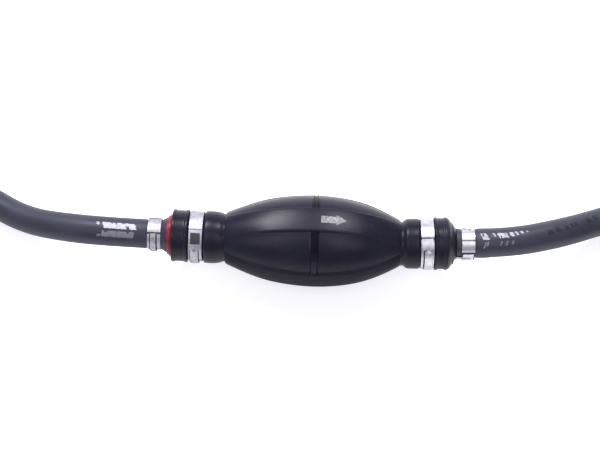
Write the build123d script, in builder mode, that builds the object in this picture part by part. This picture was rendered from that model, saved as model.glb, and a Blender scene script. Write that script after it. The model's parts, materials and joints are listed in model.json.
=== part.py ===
from build123d import *
from math import cos, pi, radians, sin, sqrt, tan
import os

# Squeeze-bulb siphon pump: a hollow rubber bulb with a check valve in each end and a hose on
# each valve. Millimetres. X runs along the bulb towards the outlet, Z is up, and the floor is Z = 0
# under the belly of the bulb, whose widest ring is at X = 0.

# ---------------------------------------------------------------- driving dimensions
# Bulb body
crown_radius = 25.7  # widest ring of the bulb, between its strips
inlet_arc_radius = 119.0  # lengthwise curve of the bulb on each side of the crown
outlet_arc_radius = 97.0
strip_rise = 0.7  # four lengthwise strips stand proud of the bulb
strip_width = 13.4
rib_rise = 0.5  # one ring round the crown
rib_width = 3.3
bulb_wall = 3.0
arrow_length = 14.0  # raised flow arrow on the top strip
arrow_width = 6.4
arrow_start = 3.6
arrow_rise = 0.4
axis_height = crown_radius + strip_rise

# Ends: each is a straight run of parts on an axis of its own, bent a little from the bulb's
pivot_x = 50.0  # where an end's axis leaves the bulb's
inlet_bend = 1.2  # degrees
outlet_bend = 2.3
neck_bore_radius = 10.4
barb_reach = 52.5  # from an end's pivot to the tip of its barb, along X, the same on both ends

# Valves
chamber_radius = 7.8
port_radius = 3.6
barb_root_radius = 4.9
barb_tip_radius = 5.7
barb_count = 3
barb_lead = 2.0  # plain run before the first barb
barb_lip = 0.2  # plain run after the last one
poppet_radius = 6.2
poppet_thickness = 1.8
nose_length = 1.0  # a poppet's cone, which centres it in its seat ring
nose_radius = 3.4
nose_tip_radius = 2.6
seat_bore_radius = 4.4
stem_radius = 1.2
hub_bore_radius = 1.5
hub_radius = 3.8
spider_ring_inner = 6.4
spoke_width = 1.8
spoke_bite = 0.4  # how far a spoke runs into the hub and the ring
seat_ring_thickness = 1.2
closed_gap = 0.1  # room between a closed poppet and its seat ring
spring_radius = 2.9
spring_wire = 0.6
spring_coils = 4.5

# Clamps
band_thickness = 0.7
ear_height = 2.2
ear_half_angle = 15.0  # degrees
ear_wall = 0.7
ear_root = 1.2  # how far an ear's outline starts inside its band

# Hose
hose_radius = 8.0
hose_bore_radius = 5.0
barb_clearance_radius = 5.8
bored_past_barb = 0.4
inlet_straight = 26.0  # to the first corner of a hose's route
outlet_straight = 28.0
floor_height = hose_radius + 0.1  # centre of a hose that lies on the floor

# Hank of the outlet hose: two layers of one long loop
hank_fold_radius = 48.0
hank_run = 172.0
hank_start_x = 246.0  # centre of the near folds
hank_centre_y = -6.0
tie_thickness = 1.0
tie_width = 18.0
hank_low = tie_thickness + hose_radius  # centre height of the lower layer
hank_high = hank_low + 2 * hose_radius
end_length = 62.0  # free end of the hose, on top of the hank


def end_plane(side, bend):
    """An end's own plane: X runs out along its axis and Y is up. side is -1 at the inlet."""
    out = Vector(side * cos(radians(bend)), sin(radians(bend)), 0)
    return Plane(origin=(side * pivot_x, 0, axis_height), x_dir=out, z_dir=out.cross(Vector(0, 0, 1)))


def outline(plane, points):
    """A closed outline of (along, radius) points, as a face on an end's plane."""
    with BuildSketch(plane) as profile:
        with BuildLine():
            Polyline(*points, close=True)
        make_face()
    return profile.sketch


def tube_outline(plane, start, stop, inner, outer):
    """The half section of a plain ring from start to stop along an end."""
    return outline(plane, [(start, inner), (stop, inner), (stop, outer), (start, outer)])


def across(plane, distance):
    """The plane square to an end's axis at a distance along it, with local Y up."""
    return Plane(
        origin=plane.from_local_coords((distance, 0, 0)), x_dir=-plane.z_dir, z_dir=plane.x_dir
    )


def bulb_outline(radius_at_crown, inlet_arc, outlet_arc, half_length):
    """Half section of the bulb: one arc on each side of the crown, and the axis."""
    inlet_radius = radius_at_crown - inlet_arc + sqrt(inlet_arc**2 - half_length**2)
    outlet_radius = radius_at_crown - outlet_arc + sqrt(outlet_arc**2 - half_length**2)
    inlet_middle = radius_at_crown - inlet_arc + sqrt(inlet_arc**2 - (half_length / 2) ** 2)
    outlet_middle = radius_at_crown - outlet_arc + sqrt(outlet_arc**2 - (half_length / 2) ** 2)
    with BuildSketch(bulb_plane) as profile:
        with BuildLine():
            ThreePointArc(
                (-half_length, inlet_radius), (-half_length / 2, inlet_middle), (0, radius_at_crown)
            )
            ThreePointArc(
                (0, radius_at_crown), (half_length / 2, outlet_middle), (half_length, outlet_radius)
            )
            Polyline(
                (half_length, outlet_radius),
                (half_length, 0),
                (-half_length, 0),
                (-half_length, inlet_radius),
            )
        make_face()
    return profile.sketch


def barbs(first, last):
    """Saw-tooth outline points from first to last, each tooth rising towards first."""
    pitch = (last - first) / barb_count
    points = []
    for tooth in range(barb_count):
        edge = first + tooth * pitch
        points += [(edge, barb_root_radius), (edge + 0.2 * pitch, barb_tip_radius)]
    return points + [(last, barb_root_radius)]


bulb_plane = Plane(origin=(0, 0, axis_height), x_dir=(1, 0, 0), z_dir=(0, -1, 0))
bulb_axis = Axis((0, 0, axis_height), (1, 0, 0))
inlet_end = end_plane(-1, inlet_bend)
outlet_end = end_plane(1, outlet_bend)
inlet_axis = Axis(inlet_end.origin, inlet_end.x_dir)
outlet_axis = Axis(outlet_end.origin, outlet_end.x_dir)

os.makedirs("parts", exist_ok=True)

# ---------------------------------------------------------------- bulb: one hollow rubber moulding
bulb_half = 51.0
cavity_half = 48.0
inlet_neck_stop = 31.4
outlet_neck_stop = 24.8
inlet_seat_radius = 13.4  # of the neck under the big clamp
outlet_seat_radius = 13.6
inlet_neck = [
    (-4.0, 0), (-4.0, 13.4), (1.2, 13.6), (5.0, 14.8), (12.4, 14.8), (13.4, inlet_seat_radius),
    (21.6, inlet_seat_radius), (22.2, 15.0), (23.4, 15.0), (24.0, 14.6), (29.2, 14.6), (29.8, 15.0),
    (30.9, 15.0), (inlet_neck_stop, 14.2), (inlet_neck_stop, 0),
]
outlet_neck = [
    (-4.0, 0), (-4.0, 12.4), (0.2, 12.6), (2.0, 14.4), (8.4, 14.4), (9.6, outlet_seat_radius),
    (17.4, outlet_seat_radius), (17.8, 15.1), (18.9, 15.1), (19.4, 14.6), (23.2, 14.6), (23.7, 15.1),
    (outlet_neck_stop, 15.1), (outlet_neck_stop, 0),
]
bore_start = -6.0  # inside the cavity
bore_overrun = 1.0
strip_half = 45.0  # the strips end just short of the necks
with BuildPart() as strips:
    # what a cross of two slabs leaves of a skin that is half in the bulb's wall
    revolve(
        bulb_outline(crown_radius + strip_rise, inlet_arc_radius, outlet_arc_radius, strip_half),
        axis=bulb_axis,
    )
    revolve(
        bulb_outline(crown_radius - bulb_wall / 2, inlet_arc_radius, outlet_arc_radius, strip_half),
        axis=bulb_axis,
        mode=Mode.SUBTRACT,
    )
    with BuildSketch(Plane.YZ.offset(-bulb_half)):
        with Locations((0, axis_height)):
            Rectangle(strip_width, 4 * crown_radius)
            Rectangle(4 * crown_radius, strip_width)
    extrude(amount=2 * bulb_half, mode=Mode.INTERSECT)
with BuildPart() as squeeze_bulb:
    revolve(bulb_outline(crown_radius, inlet_arc_radius, outlet_arc_radius, bulb_half), axis=bulb_axis)
    revolve(outline(inlet_end, inlet_neck), axis=inlet_axis)
    revolve(outline(outlet_end, outlet_neck), axis=outlet_axis)
    revolve(
        tube_outline(bulb_plane, -rib_width / 2, rib_width / 2, crown_radius - 2, crown_radius + rib_rise),
        axis=bulb_axis,
    )
    # cavity and neck bores
    cavity_arcs = (inlet_arc_radius - bulb_wall, outlet_arc_radius - bulb_wall)
    revolve(
        bulb_outline(crown_radius - bulb_wall, *cavity_arcs, cavity_half), axis=bulb_axis, mode=Mode.SUBTRACT
    )
    necks = [(inlet_end, inlet_axis, inlet_neck_stop), (outlet_end, outlet_axis, outlet_neck_stop)]
    for plane, axis, neck_stop in necks:
        bore = tube_outline(plane, bore_start, neck_stop + bore_overrun, 0, neck_bore_radius)
        revolve(bore, axis=axis, mode=Mode.SUBTRACT)
    add(strips.part)
    # flow arrow
    with BuildSketch(Plane.XY.offset(axis_height + crown_radius - bulb_wall / 2)):
        with BuildLine():
            head_x = arrow_start + 0.6 * arrow_length
            Polyline(
                (arrow_start, -arrow_width / 5), (head_x, -arrow_width / 5), (head_x, -arrow_width / 2),
                (arrow_start + arrow_length, 0), (head_x, arrow_width / 2), (head_x, arrow_width / 5),
                (arrow_start, arrow_width / 5), close=True,
            )
        make_face()
    extrude(amount=bulb_wall / 2 + strip_rise)
squeeze_bulb.part.label = "squeeze_bulb"
export_step(squeeze_bulb.part, "parts/squeeze_bulb.step")

# ---------------------------------------------------------------- inlet valve: opens towards the bulb
flange_start = inlet_neck_stop
flange_stop = 34.6
flange_radius = 11.8
inlet_barb_stop = barb_reach / cos(radians(inlet_bend))
inlet_shoulder = 21.6
inlet_body_start = 2.0
with BuildPart() as inlet_valve_body:
    revolve(
        outline(
            inlet_end,
            [
                (inlet_body_start, chamber_radius),
                (inlet_shoulder, chamber_radius),
                (inlet_shoulder, port_radius),
                (inlet_barb_stop, port_radius),
                (inlet_barb_stop, barb_root_radius),
                *reversed(barbs(flange_stop + barb_lead, inlet_barb_stop - barb_lip)[:-1]),
                (flange_stop, barb_root_radius),
                (flange_stop, flange_radius - 2.0),
                (flange_stop - 0.6, flange_radius - 0.8),
                (flange_stop - 1.6, flange_radius),
                (flange_start, flange_radius),
                (flange_start, neck_bore_radius),
                (inlet_body_start, neck_bore_radius),
            ],
        ),
        axis=inlet_axis,
    )
inlet_valve_body.part.label = "inlet_valve_body"
export_step(inlet_valve_body.part, "parts/inlet_valve_body.step")

inlet_ring_face = inlet_shoulder - seat_ring_thickness
with BuildPart() as inlet_seat_ring:
    revolve(
        tube_outline(inlet_end, inlet_ring_face, inlet_shoulder, seat_bore_radius, chamber_radius),
        axis=inlet_axis,
    )
inlet_seat_ring.part.label = "inlet_seat_ring"
export_step(inlet_seat_ring.part, "parts/inlet_seat_ring.step")

inlet_poppet_face = inlet_ring_face - closed_gap
inlet_poppet_back = inlet_poppet_face - poppet_thickness
inlet_stem_end = 6.0
with BuildPart() as inlet_poppet:
    revolve(
        outline(
            inlet_end,
            [
                (inlet_stem_end, 0), (inlet_poppet_face + nose_length, 0),
                (inlet_poppet_face + nose_length, nose_tip_radius), (inlet_poppet_face, nose_radius),
                (inlet_poppet_face, poppet_radius), (inlet_poppet_back, poppet_radius),
                (inlet_poppet_back, stem_radius), (inlet_stem_end, stem_radius),
            ],
        ),
        axis=inlet_axis,
    )
inlet_poppet.part.label = "inlet_poppet"
export_step(inlet_poppet.part, "parts/inlet_poppet.step")

inlet_spider_start = 4.0
inlet_spider_stop = 8.0
with BuildPart() as inlet_spring_retainer:
    revolve(
        tube_outline(inlet_end, inlet_spider_start, inlet_spider_stop, spider_ring_inner, chamber_radius),
        axis=inlet_axis,
    )
    revolve(
        tube_outline(inlet_end, inlet_spider_start, inlet_spider_stop, hub_bore_radius, hub_radius),
        axis=inlet_axis,
    )
    with BuildSketch(across(inlet_end, inlet_spider_start)):
        with PolarLocations((hub_radius + spider_ring_inner) / 2, 3, start_angle=90):
            Rectangle(spider_ring_inner - hub_radius + 2 * spoke_bite, spoke_width)
    extrude(amount=inlet_spider_stop - inlet_spider_start)
inlet_spring_retainer.part.label = "inlet_spring_retainer"
export_step(inlet_spring_retainer.part, "parts/inlet_spring_retainer.step")


def spring(plane, start, stop):
    """A round-wire coil spring between two stations of an end's axis."""
    length = stop - start - spring_wire
    base = across(plane, start + spring_wire / 2)
    with BuildPart() as coil:
        with BuildLine() as path:
            Helix(
                pitch=length / spring_coils,
                height=length,
                radius=spring_radius,
                center=base.origin,
                direction=base.z_dir,
            )
        with BuildSketch(Plane(origin=path.line @ 0, z_dir=path.line % 0)):
            Circle(spring_wire / 2)
        sweep(path=path.line, is_frenet=True)
    return coil.part


with BuildPart() as inlet_spring:
    add(spring(inlet_end, inlet_spider_stop, inlet_poppet_back))
inlet_spring.part.label = "inlet_spring"
export_step(inlet_spring.part, "parts/inlet_spring.step")

# ---------------------------------------------------------------- outlet valve: opens towards the hose
cone_stop = 30.3
outlet_barb_stop = barb_reach / cos(radians(outlet_bend))
outlet_body_start = 1.0
outlet_shoulder = 18.6
with BuildPart() as outlet_valve_body:
    revolve(
        outline(
            outlet_end,
            [
                (outlet_body_start, chamber_radius),
                (outlet_shoulder, chamber_radius),
                (outlet_shoulder, port_radius),
                (outlet_barb_stop, port_radius),
                (outlet_barb_stop, barb_root_radius),
                *reversed(barbs(cone_stop + barb_lead, outlet_barb_stop - barb_lip)[:-1]),
                (cone_stop, barb_root_radius),
                (cone_stop, 8.6),
                (28.9, 11.0),
                (28.7, 11.6),
                (27.9, 12.2),
                (26.2, 14.2),
                (outlet_neck_stop, 15.0),
                (outlet_neck_stop, neck_bore_radius),
                (outlet_body_start, neck_bore_radius),
            ],
        ),
        axis=outlet_axis,
    )
outlet_valve_body.part.label = "outlet_valve_body"
export_step(outlet_valve_body.part, "parts/outlet_valve_body.step")

outlet_seat_stop = 4.0
with BuildPart() as outlet_valve_seat:
    revolve(
        tube_outline(outlet_end, outlet_body_start, outlet_seat_stop, seat_bore_radius, chamber_radius),
        axis=outlet_axis,
    )
outlet_valve_seat.part.label = "outlet_valve_seat"
export_step(outlet_valve_seat.part, "parts/outlet_valve_seat.step")

outlet_ring_face = outlet_seat_stop + seat_ring_thickness
outlet_ring_radius = 7.0
with BuildPart() as outlet_seat_ring:
    revolve(
        tube_outline(outlet_end, outlet_seat_stop, outlet_ring_face, seat_bore_radius, outlet_ring_radius),
        axis=outlet_axis,
    )
outlet_seat_ring.part.label = "outlet_seat_ring"
export_step(outlet_seat_ring.part, "parts/outlet_seat_ring.step")

outlet_poppet_face = outlet_ring_face + closed_gap
outlet_poppet_back = outlet_poppet_face + poppet_thickness
outlet_stem_end = 16.6
with BuildPart() as outlet_poppet:
    revolve(
        outline(
            outlet_end,
            [
                (outlet_poppet_face - nose_length, 0), (outlet_stem_end, 0), (outlet_stem_end, stem_radius),
                (outlet_poppet_back, stem_radius), (outlet_poppet_back, poppet_radius),
                (outlet_poppet_face, poppet_radius), (outlet_poppet_face, nose_radius),
                (outlet_poppet_face - nose_length, nose_tip_radius),
            ],
        ),
        axis=outlet_axis,
    )
outlet_poppet.part.label = "outlet_poppet"
export_step(outlet_poppet.part, "parts/outlet_poppet.step")

outlet_spider_start = 14.6
with BuildPart() as outlet_stem_guide:
    revolve(
        tube_outline(outlet_end, outlet_spider_start, outlet_shoulder, spider_ring_inner, chamber_radius),
        axis=outlet_axis,
    )
    revolve(
        tube_outline(outlet_end, outlet_spider_start, outlet_shoulder - 1.4, hub_bore_radius, hub_radius),
        axis=outlet_axis,
    )
    with BuildSketch(across(outlet_end, outlet_spider_start)):
        with PolarLocations((hub_radius + spider_ring_inner) / 2, 3, start_angle=90):
            Rectangle(spider_ring_inner - hub_radius + 2 * spoke_bite, spoke_width)
    extrude(amount=outlet_shoulder - outlet_spider_start - 1.4)
outlet_stem_guide.part.label = "outlet_stem_guide"
export_step(outlet_stem_guide.part, "parts/outlet_stem_guide.step")

with BuildPart() as outlet_spring:
    add(spring(outlet_end, outlet_poppet_back, outlet_spider_start))
outlet_spring.part.label = "outlet_spring"
export_step(outlet_spring.part, "parts/outlet_spring.step")


# ---------------------------------------------------------------- clamps: one crimped ear on a flat band
def clamp(plane, start, width, inner, ear_angle):
    """A band round an end with its closed ear at ear_angle, degrees from local X towards up."""
    outer = inner + band_thickness
    ear_outer = outer + ear_height
    with BuildPart() as band:
        with BuildSketch(across(plane, start)):
            Circle(outer)
            with Locations(Rotation(0, 0, ear_angle)):
                with BuildLine(mode=Mode.PRIVATE) as ear:
                    half = outer * sin(radians(ear_half_angle))
                    shoulder = (ear_outer - 0.5, half * 0.72)
                    crest = (ear_outer, half * 0.45)
                    rising = [(outer - ear_root, -half), (shoulder[0], -shoulder[1]), (crest[0], -crest[1])]
                    Polyline(*rising, crest, shoulder, (outer - ear_root, half), close=True)
                add(make_face(ear.line, mode=Mode.PRIVATE))
            Circle(inner, mode=Mode.SUBTRACT)
            with Locations(Rotation(0, 0, ear_angle)):
                with Locations((inner + (ear_height + ear_wall) / 2, 0)):
                    Rectangle(ear_height - ear_wall, half * 0.8, mode=Mode.SUBTRACT)
        extrude(amount=width)
    return band.part


# each clamp's end, start, width, inner radius and ear angle
clamp_places = {
    "inlet_bulb_clamp": (inlet_end, 13.6, 7.6, inlet_seat_radius, -75.0),
    "outlet_bulb_clamp": (outlet_end, 9.8, 7.3, outlet_seat_radius, 265.0),
    "inlet_hose_clamp": (inlet_end, 37.6, 7.5, hose_radius, 235.0),
    "outlet_hose_clamp": (outlet_end, 33.2, 7.4, hose_radius, -55.0),
}
for name, (plane, start, width, inner, ear_angle) in clamp_places.items():
    with BuildPart() as band_clamp:
        add(clamp(plane, start, width, inner, ear_angle))
    band_clamp.part.label = name
    export_step(band_clamp.part, f"parts/{name}.step")


# ---------------------------------------------------------------- hoses
def smooth_radii(route):
    """For each corner, 0.45 of the shorter run beside it, divided by the tangent of half its turn."""
    radii = []
    for before, corner, after in zip(route, route[1:], route[2:]):
        run_in = Vector(*corner) - Vector(*before)
        run_out = Vector(*after) - Vector(*corner)
        half_turn = radians(run_in.get_angle(run_out)) / 2
        radii.append(0.45 * min(run_in.length, run_out.length) / tan(half_turn))
    return radii


def hose(route, barb_length):
    """A hollow hose along a route, bored out where it is pushed over a barb at its start."""
    radii = smooth_radii(route)
    with BuildPart() as tube:
        with BuildLine() as path:
            run = FilletPolyline(*route, radius=radii)
        with BuildSketch(Plane(origin=path.line @ 0, z_dir=path.line % 0)):
            Circle(hose_radius)
            Circle(hose_bore_radius, mode=Mode.SUBTRACT)
        sweep(path=path.line)
        with BuildSketch(Plane(origin=path.line @ 0, z_dir=path.line % 0)):
            Circle(barb_clearance_radius)
        extrude(amount=barb_length, mode=Mode.SUBTRACT)
    section = pi * (hose_radius**2 - hose_bore_radius**2)
    bored = pi * (barb_clearance_radius**2 - hose_bore_radius**2) * barb_length
    print("radii", [round(value) for value in radii], "length", round(run.length))
    print("volume over section x length", round((tube.part.volume + bored) / (section * run.length), 4))
    return tube.part


inlet_hose_start = inlet_end.from_local_coords((flange_stop, 0, 0))
inlet_first_run = inlet_end.from_local_coords((flange_stop + inlet_straight, 0, 0))
inlet_route = [
    tuple(inlet_hose_start),
    tuple(inlet_first_run),
    (-140.0, 4.9, 22.6),
    (-170.0, 14.0, 13.6),
    (-198.0, 33.0, floor_height + 0.5),
    (-232.0, 50.0, floor_height),
    (-276.0, 56.5, floor_height),
    (-318.0, 56.5, floor_height),
]
with BuildPart() as inlet_hose:
    add(hose(inlet_route, inlet_barb_stop - flange_stop + bored_past_barb))
inlet_hose.part.label = "inlet_hose"
export_step(inlet_hose.part, "parts/inlet_hose.step")

outlet_hose_start = outlet_end.from_local_coords((cone_stop, 0, 0))
outlet_first_run = outlet_end.from_local_coords((cone_stop + outlet_straight, 0, 0))
back_run_y = hank_centre_y + hank_fold_radius
front_run_y = hank_centre_y - hank_fold_radius
outlet_route = [
    tuple(outlet_hose_start),
    tuple(outlet_first_run),
    (140.0, 12.7, 21.0),
    (168.0, 27.3, 12.2),
    (192.0, 38.0, floor_height + 0.4),
    (218.0, back_run_y, hank_low),
    (hank_start_x, back_run_y, hank_low),
]
with BuildPart() as outlet_hose:
    add(hose(outlet_route, outlet_barb_stop - cone_stop + bored_past_barb))
outlet_hose.part.label = "outlet_hose"
export_step(outlet_hose.part, "parts/outlet_hose.step")

# Hank: the hose comes in along the lower back run, goes round, climbs over itself at the near fold
# and goes round again on top, so the lower layer is open behind the near fold and the upper one
# in front of it.
hank_end_x = hank_start_x + hank_run
climb_half_width = 12.0  # both layers overlap this far each side of the hank's middle
with BuildPart() as outlet_hose_hank:
    with BuildSketch(Plane.XY.offset(hank_low - hose_radius)):
        with Locations((hank_start_x + hank_run / 2, hank_centre_y)):
            SlotCenterToCenter(hank_run, 2 * (hank_fold_radius + hose_radius))
            SlotCenterToCenter(hank_run, 2 * (hank_fold_radius - hose_radius), mode=Mode.SUBTRACT)
    extrude(amount=4 * hose_radius)
    # lower layer, behind the near fold
    with BuildSketch(Plane.XY.offset(hank_low - hose_radius)):
        with Locations((hank_start_x, hank_centre_y + climb_half_width)):
            Rectangle(3 * hank_fold_radius, 2 * hank_fold_radius, align=(Align.MAX, Align.MIN))
    extrude(amount=2 * hose_radius, mode=Mode.SUBTRACT)
    # upper layer, in front of the near fold and where the free end lies
    with BuildSketch(Plane.XY.offset(hank_high - hose_radius)):
        with Locations((hank_start_x, hank_centre_y - climb_half_width)):
            Rectangle(3 * hank_fold_radius, 2 * hank_fold_radius, align=(Align.MAX, Align.MAX))
        with Locations((hank_start_x + end_length, front_run_y)):
            Rectangle(end_length + 1, 3 * hose_radius, align=(Align.MAX, Align.CENTER))
    extrude(amount=2 * hose_radius, mode=Mode.SUBTRACT)
outlet_hose_hank.part.label = "outlet_hose_hank"
export_step(outlet_hose_hank.part, "parts/outlet_hose_hank.step")

with BuildPart() as outlet_hose_end:
    with BuildSketch(Plane.YZ.offset(hank_start_x)):
        with Locations((front_run_y, hank_high)):
            Circle(hose_radius)
            Circle(hose_bore_radius, mode=Mode.SUBTRACT)
    extrude(amount=end_length)
outlet_hose_end.part.label = "outlet_hose_end"
export_step(outlet_hose_end.part, "parts/outlet_hose_end.step")

# Ties: a strap round the two strands of each long run
tie_x = hank_start_x + hank_run / 2
for name, run_y in {"hank_tie_front": front_run_y, "hank_tie_back": back_run_y}.items():
    with BuildPart() as hank_tie:
        with BuildSketch(Plane.YZ.offset(tie_x - tie_width / 2)):
            with Locations((run_y, hank_low + hose_radius)):
                Rectangle(2 * (hose_radius + tie_thickness), 2 * (2 * hose_radius + tie_thickness))
                Rectangle(2 * hose_radius, 4 * hose_radius, mode=Mode.SUBTRACT)
        extrude(amount=tie_width)
    hank_tie.part.label = name
    export_step(hank_tie.part, f"parts/{name}.step")

loop_length = 4 * hank_run + 3 * pi * hank_fold_radius
print("hose in the hank", round(loop_length), "mm")
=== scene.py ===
import json
import math

import bmesh
import bpy
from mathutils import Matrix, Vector

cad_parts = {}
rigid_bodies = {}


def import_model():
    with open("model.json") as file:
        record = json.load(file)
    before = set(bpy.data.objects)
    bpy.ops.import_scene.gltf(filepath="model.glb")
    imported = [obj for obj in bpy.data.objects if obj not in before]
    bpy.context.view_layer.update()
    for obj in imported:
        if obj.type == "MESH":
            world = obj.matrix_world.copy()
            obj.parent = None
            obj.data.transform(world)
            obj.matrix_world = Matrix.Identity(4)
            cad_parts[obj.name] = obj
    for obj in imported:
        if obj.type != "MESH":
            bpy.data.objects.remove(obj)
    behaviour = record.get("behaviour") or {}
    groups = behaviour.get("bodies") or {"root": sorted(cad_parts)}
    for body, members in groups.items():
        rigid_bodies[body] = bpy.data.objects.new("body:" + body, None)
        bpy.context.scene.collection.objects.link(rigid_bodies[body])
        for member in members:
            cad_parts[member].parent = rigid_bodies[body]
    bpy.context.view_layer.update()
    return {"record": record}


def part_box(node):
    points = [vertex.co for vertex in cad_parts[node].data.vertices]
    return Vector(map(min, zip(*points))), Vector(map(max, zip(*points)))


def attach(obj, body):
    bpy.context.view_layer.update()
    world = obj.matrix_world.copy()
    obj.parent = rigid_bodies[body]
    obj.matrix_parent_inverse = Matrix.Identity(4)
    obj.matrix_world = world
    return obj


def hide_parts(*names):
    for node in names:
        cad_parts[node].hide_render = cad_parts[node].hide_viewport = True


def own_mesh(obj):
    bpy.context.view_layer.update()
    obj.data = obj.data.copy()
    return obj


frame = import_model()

MM = 0.001  # sizes are in millimetres, unless they are already times MM

# ------ the frame's own places
UP = Vector((0, 0, 1))
bulb_low, bulb_high = (Vector(corner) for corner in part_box("squeeze_bulb"))
axis_height = (bulb_low.z + bulb_high.z) / 2
PIVOT_X = 50.0 * MM  # where each end's axis leaves the bulb's own
joints = {joint["name"]: joint for joint in frame["record"]["behaviour"]["joints"]}


def spoke(first, second, turn):
    """The direction at an angle in radians from one axis towards another."""
    return first * math.cos(turn) + second * math.sin(turn)


class End:
    """One end of the pump: its own axis, and points placed along and round it in millimetres."""

    def __init__(self, side, out):
        self.out = out.normalized()
        self.origin = Vector((side * PIVOT_X, 0, axis_height))
        self.front = (side * self.out.cross(UP)).normalized()

    def point(self, along, radius=0.0, angle=0.0):
        """angle is in radians from the front (-Y) towards the top."""
        radial = spoke(self.front, UP, angle)
        return self.origin + self.out * (along * MM) + radial * (radius * MM)


inlet = End(-1, -Vector(joints["inlet_poppet_slide"]["axis"]))
outlet = End(1, Vector(joints["outlet_poppet_slide"]["axis"]))


def new_object(name, data):
    obj = bpy.data.objects.new(name, data)
    bpy.context.scene.collection.objects.link(obj)
    return obj


# ------ camera
VIEW_AZIMUTH = math.radians(2.15)
VIEW_ELEVATION = math.radians(62.0)
VIEW_DISTANCE = 1.023
SENSOR_WIDTH = 36.0
FOCAL_LENGTH = 107.6
AIM_RIGHT = -8.55 * MM  # the view is centred a little to the left of the bulb
AIM_UP = 1.6 * MM


def make_camera():
    right = Vector((math.cos(VIEW_AZIMUTH), math.sin(VIEW_AZIMUTH), 0))
    level = Vector((-math.sin(VIEW_AZIMUTH), math.cos(VIEW_AZIMUTH), 0))
    forward = level * math.cos(VIEW_ELEVATION) - UP * math.sin(VIEW_ELEVATION)
    upward = level * math.sin(VIEW_ELEVATION) + UP * math.cos(VIEW_ELEVATION)
    data = bpy.data.cameras.new("camera")
    data.sensor_width = SENSOR_WIDTH
    data.lens = FOCAL_LENGTH
    data.clip_start = 0.01
    camera = new_object("camera", data)
    aim = Vector((0, 0, axis_height)) + right * AIM_RIGHT + upward * AIM_UP
    camera.location = aim - forward * VIEW_DISTANCE
    camera.rotation_euler = forward.to_track_quat("-Z", "Y").to_euler()
    bpy.context.scene.camera = camera


make_camera()


# ------ mesh helpers
LATHE_SIDES = 96
CORNER_STEPS = 4  # points in a rounded corner of a profile, less one
CORNER_SHARE = 0.45  # of the shorter side, the most that a rounded corner takes
LEAST_CORNER = 1e-4


def frame_object(node):
    """The frame's own mesh of a node."""
    return next(o for o in bpy.context.scene.objects if o.name == node)


def shade_smooth(mesh, sharp_above):
    """Smooth shading, but for edges that bend by more than an angle in degrees."""
    for polygon in mesh.polygons:
        polygon.use_smooth = True
    mesh.set_sharp_from_angle(angle=math.radians(sharp_above))


def ring_mesh(name, rows, alongs=None):
    """A closed mesh from rows of points: each row closes on itself, and the last joins the first.
    alongs gives each row's distance along, for a UV map of (along, turns around)."""
    columns = len(rows[0])
    mesh = bpy.data.meshes.new(name)
    vertices = [point for row in rows for point in row]
    faces = []
    corner_uvs = []
    for first in range(len(rows)):
        second = (first + 1) % len(rows)
        near, far = first * columns, second * columns
        for column in range(columns):
            beside = (column + 1) % columns
            faces.append((near + column, near + beside, far + beside, far + column))
            if alongs:
                left, right = column / columns, (column + 1) / columns
                corner_uvs += [(alongs[first], left), (alongs[first], right)]
                corner_uvs += [(alongs[second], right), (alongs[second], left)]
    mesh.from_pydata(vertices, [], faces)
    if alongs:
        layer = mesh.uv_layers.new(name="UVMap")
        for corner, uv in zip(layer.data, corner_uvs):
            corner.uv = uv
    work = bmesh.new()
    work.from_mesh(mesh)
    bmesh.ops.recalc_face_normals(work, faces=work.faces)
    work.to_mesh(mesh)
    work.free()
    return mesh


def finished_mesh(work, name):
    mesh = bpy.data.meshes.new(name)
    work.to_mesh(mesh)
    work.free()
    return mesh


def rounded(points):
    """A profile with its corners rounded: points are (along, radius, corner radius)."""
    profile = [points[0][:2]]
    for before, corner, after in zip(points, points[1:], points[2:]):
        here = Vector(corner[:2])
        to_before = Vector(before[:2]) - here
        to_after = Vector(after[:2]) - here
        reach = min(corner[2], CORNER_SHARE * to_before.length, CORNER_SHARE * to_after.length)
        if reach < LEAST_CORNER:
            profile.append(corner[:2])
            continue
        start = here + to_before.normalized() * reach
        stop = here + to_after.normalized() * reach
        for step in range(CORNER_STEPS + 1):
            t = step / CORNER_STEPS
            bend = start * (1 - t) ** 2 + here * (2 * t * (1 - t)) + stop * t**2
            profile.append((bend.x, bend.y))
    profile.append(points[-1][:2])
    return profile


def smoothstep(low, high, value):
    """0 up to low, 1 from high on, and a smooth rise between them."""
    t = min(1.0, max(0.0, (value - low) / (high - low)))
    return t * t * (3 - 2 * t)


def lathe(name, end, points):
    """A solid of revolution about an end's axis from a closed profile with rounded corners."""
    closed = [points[-1], *points, points[0]]
    turns = [2 * math.pi * k / LATHE_SIDES for k in range(LATHE_SIDES)]
    rows = [[end.point(along, radius, turn) for turn in turns] for along, radius in rounded(closed)[1:-1]]
    mesh = ring_mesh(name, rows)
    shade_smooth(mesh, sharp_above=40)
    return new_object(name, mesh)


# ------ routes of the hoses
HOSE_RADIUS = 8.0
HOSE_BORE = 5.0
FLOOR_HEIGHT = 8.1  # of the hose's centreline where it lies on the floor
INLET_FLANGE_FACE = 34.6  # from the end's pivot to where its hose starts
OUTLET_FLANGE_FACE = 30.3
INLET_STRAIGHT = 26.0  # what the barb and the clamp keep straight
OUTLET_STRAIGHT = 28.0
hank_min, hank_max = (Vector(corner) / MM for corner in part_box("outlet_hose_hank"))
HANK_FOLD = 48.0  # radius of the hank's folds
hank_centre_y = (hank_min.y + hank_max.y) / 2
hank_near_x = hank_min.x + HANK_FOLD + HOSE_RADIUS
hank_far_x = hank_max.x - HANK_FOLD - HOSE_RADIUS
hank_low = hank_min.z + HOSE_RADIUS
hank_high = hank_max.z - HOSE_RADIUS
back_run_y = hank_centre_y + HANK_FOLD
front_run_y = hank_centre_y - HANK_FOLD

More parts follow.
